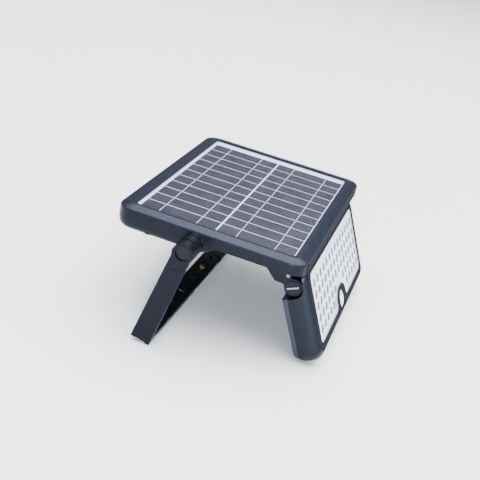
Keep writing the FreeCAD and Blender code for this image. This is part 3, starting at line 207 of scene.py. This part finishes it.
def metal(name, colour, rough, grain=(400.0, 400.0, 40.0)):
    """Plated metal with a fine turned or drawn grain."""
    s = Shader(name)
    rounded, on_edge = s.edges(0.0002)
    streak = s.noise(9.0, 3.0, grain)
    shaded = tuple(c * 0.78 for c in colour)
    s.link(s.mix(s.ranged(streak, 0.0, 0.5), colour, shaded), s.main.inputs["Base Color"])
    s.link(s.ranged(streak, rough - 0.06, rough + 0.08), s.main.inputs["Roughness"])
    s.bump(streak, 0.2, 0.00002, rounded)
    s.set(Metallic=1.0)
    return s.material


def cell_silicon():
    """Silicon strips under resin: crystal mottling with faint fingers across each strip."""
    s = Shader("cell_silicon")
    crystal = s.node("ShaderNodeTexVoronoi", feature="F1")
    crystal.inputs["Scale"].default_value = 240.0
    s.link(s.coords.outputs["Object"], crystal.inputs["Vector"])
    patch = s.ranged(crystal.outputs["Color"], 0.0, 0.35, 0.0, 1.0)
    mottled = s.mix(patch, (0.008, 0.009, 0.020), (0.016, 0.017, 0.034))
    fingers = s.node("ShaderNodeTexWave", wave_type="BANDS", bands_direction="Y", wave_profile="SIN")
    fingers.inputs["Scale"].default_value = 157.0
    s.link(s.coords.outputs["Object"], fingers.inputs["Vector"])
    line = s.ranged(fingers.outputs["Fac"], 0.0, 0.16, 0.90, 1.0)
    s.link(s.mix(line, mottled, (0.10, 0.105, 0.14)), s.main.inputs["Base Color"])
    s.link(s.ranged(s.noise(90.0), 0.30, 0.42), s.main.inputs["Roughness"])
    s.bump(s.noise(700.0), 0.1, 0.00002)
    s.set(Specular_IOR_Level=0.4)
    return s.material


def cover_film():
    """The laminate's clear cover: see-through, with a soft satin reflection."""
    s = Shader("cover_film")
    s.tree.nodes.remove(s.main)
    clear = s.node("ShaderNodeBsdfTransparent")
    gloss = s.node("ShaderNodeBsdfGlossy")
    fresnel = s.node("ShaderNodeFresnel")
    mixed = s.node("ShaderNodeMixShader")
    pebble = s.node("ShaderNodeBump")
    clear.inputs["Color"].default_value = (0.96, 0.97, 1.0, 1.0)
    fresnel.inputs["IOR"].default_value = 1.26
    pebble.inputs["Strength"].default_value = 0.25
    pebble.inputs["Distance"].default_value = 0.00002
    s.link(s.noise(1800.0, 2.0), pebble.inputs["Height"])
    s.link(pebble.outputs["Normal"], gloss.inputs["Normal"])
    s.link(s.ranged(s.noise(60.0), 0.20, 0.30), gloss.inputs["Roughness"])
    geometry = s.node("ShaderNodeNewGeometry")
    outside = s.ranged(geometry.outputs["Backfacing"], 1.0, 0.0, 0.0, 1.0)
    share = s.node("ShaderNodeMath", operation="MULTIPLY")
    s.link(fresnel.outputs["Fac"], share.inputs[0])
    s.link(outside, share.inputs[1])
    s.link(share.outputs["Value"], mixed.inputs["Fac"])
    s.link(clear.outputs["BSDF"], mixed.inputs[1])
    s.link(gloss.outputs["BSDF"], mixed.inputs[2])
    s.link(mixed.outputs["Shader"], s.output.inputs["Surface"])
    return s.material


def smooth_white(name, colour, rough, coat=0.0, scatter=0.0, facets=0.0):
    """White plastic or laminate, faintly cloudy; facets adds the shallow cells of a sensor's lens."""
    s = Shader(name)
    cloudy = tuple(c * 0.95 for c in colour)
    s.link(s.mix(s.ranged(s.noise(60.0), 0.0, 0.5), colour, cloudy), s.main.inputs["Base Color"])
    s.link(s.ranged(s.noise(300.0), rough - 0.04, rough + 0.05), s.main.inputs["Roughness"])
    if facets:
        cells = s.node("ShaderNodeTexVoronoi", feature="DISTANCE_TO_EDGE")
        cells.inputs["Scale"].default_value = facets
        s.link(s.coords.outputs["Object"], cells.inputs["Vector"])
        s.bump(s.ranged(cells.outputs["Distance"], 0.0, 1.0, 0.0, 0.25), 0.5, 0.0002)
    else:
        s.bump(s.noise(1200.0), 0.15, 0.00002)
    s.set(Coat_Weight=coat, Subsurface_Weight=scatter)
    s.main.inputs["Subsurface Radius"].default_value = (0.002, 0.002, 0.002)
    return s.material


def lens_white():
    """The lamp's lens: a white moulding, greyed with painted shade down in its bowls, by the amount a vertex
    attribute gives.
    """
    s = Shader("lens_white")
    depth = s.node("ShaderNodeAttribute", attribute_name="bowl_shade")
    face = s.mix(s.ranged(s.noise(60.0), 0.0, 0.4), (0.76, 0.80, 0.98), (0.69, 0.73, 0.94))
    # painted shade: the face is mixed towards grey down in the bowls
    s.link(s.mix(depth.outputs["Fac"], face, (0.10, 0.11, 0.165)), s.main.inputs["Base Color"])
    s.link(s.ranged(s.noise(300.0), 0.18, 0.28), s.main.inputs["Roughness"])
    s.bump(s.noise(900.0), 0.1, 0.00002)
    s.set(Coat_Weight=0.3)
    return s.material


def printed_board(name, colour, track):
    """A circuit board: solder resist over a pattern of tracks."""
    s = Shader(name)
    brick = s.node("ShaderNodeTexBrick")
    brick.inputs["Scale"].default_value = 180.0
    brick.inputs["Color1"].default_value = (*colour, 1.0)
    brick.inputs["Color2"].default_value = (*(c * 1.15 for c in colour), 1.0)
    brick.inputs["Mortar"].default_value = (*track, 1.0)
    brick.inputs["Mortar Size"].default_value = 0.03
    s.link(s.coords.outputs["Object"], brick.inputs["Vector"])
    s.link(brick.outputs["Color"], s.main.inputs["Base Color"])
    s.link(s.ranged(s.noise(400.0), 0.28, 0.40), s.main.inputs["Roughness"])
    s.bump(brick.outputs["Fac"], 0.2, 0.00003)
    return s.material


CASE_EAST = tuple(CASE_TURN.to_3x3() @ Vector((1, 0, 0)))
LAMP_FRONT = tuple(LAMP.to_3x3() @ Vector((1, 0, 0)))
# near-black plastic, and the lighter colour painted on its sharp edges as a highlight
NEAR_BLACK, NEAR_BLACK_EDGE_HIGHLIGHT = (0.002, 0.0025, 0.004), (0.02, 0.024, 0.04)

# the second colour given to moulded() is a painted highlight on the sharp edges
# by material slot, and by node name for a node with a finish of its own
MATERIALS = {
    "case_shell": moulded("case_plastic", NEAR_BLACK, NEAR_BLACK_EDGE_HIGHLIGHT, 0.34, sheen=0.15, matt=CASE_EAST),
    # the bezel's base is lighter and bluer than the case's: partly its own tint, partly a painted slate-blue sheen
    # from the light on its up-facing slope
    "bezel_shell": moulded("bezel_plastic", (0.005, 0.007, 0.015), (0.045, 0.058, 0.10), 0.32,
                           depth=0.000006, sheen=0.22, matt=CASE_EAST),
    "lamp_shell": moulded("lamp_plastic", NEAR_BLACK, NEAR_BLACK_EDGE_HIGHLIGHT, 0.38, sheen=0.20, matt=LAMP_FRONT),
    "bracket_shell": moulded("bracket_plastic", NEAR_BLACK, NEAR_BLACK_EDGE_HIGHLIGHT, 0.38, sheen=0.13),
    "dark_plastic": moulded("black_plastic", (0.001, 0.001, 0.002), (0.01, 0.011, 0.015), 0.26, sheen=0.22),
    "rubber": moulded("soft_rubber", (0.010, 0.010, 0.012), (0.04, 0.04, 0.045), 0.60,
                      grain=1800.0, depth=0.00004, edge=0.0004, sheen=0.3),
    "battery_wrap": moulded("battery_wrap", (0.03, 0.09, 0.28), (0.10, 0.20, 0.45), 0.28),
    "steel": metal("zinc_plate", (0.26, 0.27, 0.30), 0.38),
    "black_steel": metal("black_oxide", (0.05, 0.05, 0.06), 0.36),
    "lug_end_screws": metal("dull_zinc", (0.14, 0.145, 0.16), 0.42),
    "brass": metal("brass_plate", (0.86, 0.48, 0.14), 0.28),
    "heat_plate": metal("sheet_aluminium", (0.80, 0.81, 0.83), 0.36, (40.0, 600.0, 600.0)),
    "sensor_can": metal("sensor_can_plate", (0.72, 0.72, 0.74), 0.22),
    "cell_face": cell_silicon(),
    "cover_glass": cover_film(),
    "backsheet": smooth_white("white_laminate", (0.80, 0.82, 0.92), 0.45),
    "diffuser": lens_white(),
    "dome_white": smooth_white("dome_white", (0.86, 0.87, 0.93), 0.35, 0.2, 0.2, 330.0),
    "circuit": printed_board("green_board", (0.02, 0.12, 0.05), (0.10, 0.26, 0.12)),
    "white_board": printed_board("white_board", (0.78, 0.79, 0.80), (0.62, 0.63, 0.64)),
    "led_chip": smooth_white("led_phosphor", (0.85, 0.72, 0.25), 0.30, 0.5),
    "lamp_back": moulded("lamp_back_plastic", (0.012, 0.014, 0.022), (0.05, 0.055, 0.08), 0.34, sheen=0.35),
    "ribbon": smooth_white("tinned_ribbon", (0.70, 0.72, 0.82), 0.42),
}
# the ribbons have no slot of their own in the record
slots = {part["node"]: part["material_slot"] for part in frame["record"]["subparts"]}
for name, node in frame["nodes"].items():
    node.data.materials.clear()
    node.data.materials.append(MATERIALS.get(name) or MATERIALS[slots[name]])
    node.data.shade_smooth()
    node.data.set_sharp_from_angle(angle=math.radians(28))


# ---------------------------------------------------------------- meshes

def add_piece(name, mesh, place, body, slot, smooth_angle=40.0):
    piece = bpy.data.objects.new(name, mesh)
    bpy.context.scene.collection.objects.link(piece)
    mesh.transform(Matrix.Scale(MM, 4))
    mesh.transform(place)
    mesh.materials.append(MATERIALS[slot])
    mesh.shade_smooth()
    mesh.set_sharp_from_angle(angle=math.radians(smooth_angle))
    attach(piece, body)
    return piece


def from_bmesh(bm, name):
    bmesh.ops.recalc_face_normals(bm, faces=bm.faces)
    mesh = bpy.data.meshes.new(name)
    bm.to_mesh(mesh)
    bm.free()
    return mesh


def arc_path(corners, steps=8):
    """Points of a closed outline of level and upright lines, rounded by r at each (y, z, r) corner."""
    points = []
    total = len(corners)
    for index, (y, z, r) in enumerate(corners):
        here = Vector((y, z))
        arriving = (here - Vector(corners[index - 1][:2])).normalized()
        leaving = (Vector(corners[(index + 1) % total][:2]) - here).normalized()
        centre = here + (leaving - arriving) * r
        for step in range(steps + 1):
            a = math.pi / 2 * step / steps
            points.append(centre - leaving * r * math.cos(a) + arriving * r * math.sin(a))
    return points


def window_path(grow):
    """The lamp window's outline with the sensor's arch in its lower edge, widened by grow."""
    half, corner = WINDOW_HALF + grow, WINDOW_CORNER + grow
    low, high = WINDOW_LOW - grow, WINDOW_HIGH + grow
    arch, arch_top = ARCH_HALF - grow, ARCH_TOP - grow
    arch_round, flare = ARCH_ROUND - grow, ARCH_FLARE + grow
    return arc_path([(-half, low, corner), (-arch, low, flare), (-arch, arch_top, arch_round),
                     (arch, arch_top, arch_round), (arch, low, flare), (half, low, corner),
                     (half, high, corner), (-half, high, corner)])


def led_centres():
    """Places of the LEDs, without those that the sensor's arch takes in the two lowest rows."""
    centres = []
    for row in range(LED_ROWS):
        room = {LED_ROWS - 2: 1, LED_ROWS - 1: 2}.get(row, 0)
        for column in range(LED_COLUMNS):
            offset = column - (LED_COLUMNS - 1) / 2
            if abs(offset) > room:
                centres.append((offset * LED_PITCH_Y, LED_TOP - row * LED_PITCH_Z))
    return centres


def ring_of(bm, centre, radius, x, steps=28):
    y, z = centre
    turns = [2 * math.pi * k / steps for k in range(steps)]
    return [bm.verts.new((x, y + radius * math.cos(a), z + radius * math.sin(a))) for a in turns]


def bridge(bm, first, second):
    total = len(first)
    for k in range(total):
        bm.faces.new((first[k], first[(k + 1) % total], second[(k + 1) % total], second[k]))


def close_loop(bm, loop):
    return [bm.edges.get((a, b)) or bm.edges.new((a, b)) for a, b in zip(loop, loop[1:] + loop[:1])]


def lens_plate():
    """The lamp's front lens: one moulded plate with a lipped bowl over each LED."""
    bm = bmesh.new()
    # each vertex carries the painted shade that greys it down in its bowl
    shade = bm.verts.layers.float.new("bowl_shade")
    outline = [(-0.6, LENS_FRONT), (-0.3, LENS_FRONT - 0.12), (-0.2, LENS_FRONT - 0.4), (-0.2, LENS_FLANGE),
               (2.2, LENS_FLANGE), (2.2, LENS_BACK)]
    loops = [[bm.verts.new((x, p.x, p.y)) for p in window_path(grow)] for grow, x in outline]
    for first, second in zip(loops, loops[1:]):
        bridge(bm, first, second)
    face_edges = close_loop(bm, loops[0])
    for centre in led_centres():
        rings = []
        # depth here is the ring's painted shade, not a depth
        for radius, rise, depth in LENS_BOWL:
            rings.append(ring_of(bm, centre, radius, LENS_FRONT + rise))
            for vert in rings[-1]:
                vert[shade] = depth
        for first, second in zip(rings, rings[1:]):
            bridge(bm, first, second)
        tip = bm.verts.new((LENS_FRONT - BOWL_TIP_DROP, centre[0], centre[1]))
        tip[shade] = BOWL_TIP_SHADE
        last = rings[-1]
        for k in range(len(last)):
            bm.faces.new((last[k], last[(k + 1) % len(last)], tip))
        face_edges += close_loop(bm, rings[0])
    bmesh.ops.triangle_fill(bm, use_beauty=True, edges=face_edges, normal=(1, 0, 0))
    bmesh.ops.triangle_fill(bm, use_beauty=True, edges=close_loop(bm, loops[-1]), normal=(-1, 0, 0))
    return from_bmesh(bm, "lens_plate")


lens = add_piece("lens_plate", lens_plate(), LAMP, "lamp", "diffuser")
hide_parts("lamp_lens")


def rounded_plate(half_x, half_y, corner, levels):
    """A plate whose outline steps in with height: levels are (z, inset) from the underside up."""
    bm = bmesh.new()
    loops = []
    for z, inset in levels:
        x, y, r = half_x - inset, half_y - inset, corner - inset
        points = arc_path([(-x, -y, r), (x, -y, r), (x, y, r), (-x, y, r)])
        loops.append([bm.verts.new((p.x, p.y, z)) for p in points])
    for first, second in zip(loops, loops[1:]):
        bridge(bm, first, second)
    bm.faces.new(loops[0])
    bm.faces.new(loops[-1])
    return bm


def cell_centres():
    for column in (-0.5, 0.5):
        for row in range(CELL_ROWS):
            yield GRID_X + column * COLUMN_PITCH, GRID_Y + (row - (CELL_ROWS - 1) / 2) * ROW_PITCH


def silicon_cells():
    """Thin strips cut from square wafers: sharp cut sides and small bevelled corners."""
    bm = bmesh.new()
    for x, y in cell_centres():
        half_x, half_y, cut = CELL_WIDE / 2, CELL_DEEP / 2, CELL_CORNER_CUT
        outline = [(-half_x + cut, -half_y), (half_x - cut, -half_y),
                   (half_x, -half_y + cut), (half_x, half_y - cut),
                   (half_x - cut, half_y), (-half_x + cut, half_y),
                   (-half_x, half_y - cut), (-half_x, -half_y + cut)]
        low = [bm.verts.new((x + a, y + b, SHEET_TOP + 0.02)) for a, b in outline]
        high = [bm.verts.new((x + a, y + b, CELL_TOP)) for a, b in outline]
        bridge(bm, low, high)
        bm.faces.new(low)
        bm.faces.new(high)
    return from_bmesh(bm, "silicon_cells")


def ribbons():
    """Tinned busbar ribbons: each runs along a column of strips, with a step down between two strips."""
    bm = bmesh.new()
    low = GRID_Y - (CELL_ROWS * ROW_PITCH) / 2 + 0.9
    profile = [(-0.30, 0.01), (-0.20, 0.07), (0.0, 0.09), (0.20, 0.07), (0.30, 0.01)]
    for column in (-0.5, 0.5):
        for side in (-1, 1):
            middle = GRID_X + column * COLUMN_PITCH + side * BUSBAR_OFFSET
            sections = []
            for row in range(CELL_ROWS):
                start = low + row * ROW_PITCH
                for y, drop in ((start, 0.10), (start + 0.7, 0.0),
                                (start + CELL_DEEP - 1.6, 0.0), (start + CELL_DEEP - 0.6, 0.10)):
                    upper = [bm.verts.new((middle + x, y, CELL_TOP + z - drop)) for x, z in profile]
                    under = [bm.verts.new((middle + x, y, CELL_TOP - 0.03 - drop))
                             for x, z in reversed(profile)]
                    sections.append(upper + under)
            for first, second in zip(sections, sections[1:]):
                bridge(bm, first, second)
            bm.faces.new(sections[0])
            bm.faces.new(sections[-1])
    return from_bmesh(bm, "cell_ribbons")


def laminate():
    """The white sheet, the strips, their ribbons and the clear cover."""
    sheet = rounded_plate(COVER_X, COVER_Y, COVER_CORNER, [(-2.0, 0.1), (-1.9, 0.0), (SHEET_TOP, 0.0)])
    back = add_piece("laminate_sheet", from_bmesh(sheet, "laminate_sheet"), CASE, "case", "backsheet")
    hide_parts("white_backsheet")
    cells = add_piece("silicon_cells", silicon_cells(), CASE, "case", "cell_face")
    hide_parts("solar_cells")
    add_piece("cell_ribbons", ribbons(), CASE, "case", "ribbon")
    film = rounded_plate(COVER_X, COVER_Y, COVER_CORNER, [(COVER_UNDER, 0.0), (-0.08, 0.0), (-0.01, 0.08)])
    cover = add_piece("laminate_cover", from_bmesh(film, "laminate_cover"), CASE, "case", "cover_glass")
    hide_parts("solar_glass")


# ---------------------------------------------------------------- stage, light and camera

def floor():
    mesh = bpy.data.meshes.new("floor")
    reach = 12.0
    corners = [(-reach, -reach, 0), (reach, -reach, 0), (reach, reach, 0), (-reach, reach, 0)]
    mesh.from_pydata(corners, [], [(0, 1, 2, 3)])
    plane = bpy.data.objects.new("floor", mesh)
    bpy.context.scene.collection.objects.link(plane)
    s = Shader("floor_paper")
    cloud = s.ranged(s.noise(6.0), 0.0, 1.0)
    s.link(s.mix(cloud, (0.93, 0.93, 0.94), (0.95, 0.95, 0.955)), s.main.inputs["Base Color"])
    s.set(Roughness=0.9, Specular_IOR_Level=0.1)
    mesh.materials.append(s.material)
    plane.location.z = cad_box[0][2] - 0.0002


def softbox(name, place, target, wide, tall, watts, colour=(1.0, 1.0, 1.0)):
    light = bpy.data.lights.new(name, "AREA")
    light.shape = "RECTANGLE"
    light.size, light.size_y = wide, tall
    light.energy = watts
    light.color = colour
    lamp = bpy.data.objects.new(name, light)
    bpy.context.scene.collection.objects.link(lamp)
    lamp.location = place
    lamp.visible_camera = False
    lamp.rotation_euler = (Vector(target) - Vector(place)).to_track_quat("-Z", "Y").to_euler()


def camera():
    """A 64 mm lens on a full frame, leaning a little to one side."""
    data = bpy.data.cameras.new("camera")
    data.sensor_width, data.lens = 36.0, 63.87
    seen = bpy.data.objects.new("camera", data)
    bpy.context.scene.collection.objects.link(seen)
    place = CASE @ (Vector((181.08, -829.19, 340.07)) * MM)
    forward = (CASE_TURN @ Vector((-0.19256, 0.88423, -0.42552))).normalized()
    right = CASE_TURN @ Vector((0.92903, 0.30390, 0.21108))
    right = (right - forward * right.dot(forward)).normalized()
    up = right.cross(forward)
    axes = Matrix((right, up, -forward)).transposed()
    seen.matrix_world = Matrix.Translation(place) @ axes.to_4x4()
    bpy.context.scene.camera = seen


laminate()
floor()
middle = Vector((0.0, 0.0, 0.06))
softbox("overhead", (0.2, 0.3, 2.6), middle, 4.0, 4.0, 420.0, (0.97, 0.98, 1.0))
softbox("front", (0.30, -1.4, 0.25), middle, 0.12, 0.5, 45.0, (0.85, 0.90, 1.0))
softbox("right", (1.6, -0.6, 0.5), middle, 0.8, 0.8, 9.0, (0.95, 0.97, 1.0))
world = bpy.data.worlds.new("studio")
world.use_nodes = True
world.node_tree.nodes["Background"].inputs["Color"].default_value = (0.93, 0.95, 1.0, 1.0)
world.node_tree.nodes["Background"].inputs["Strength"].default_value = 0.30
bpy.context.scene.world = world
camera()
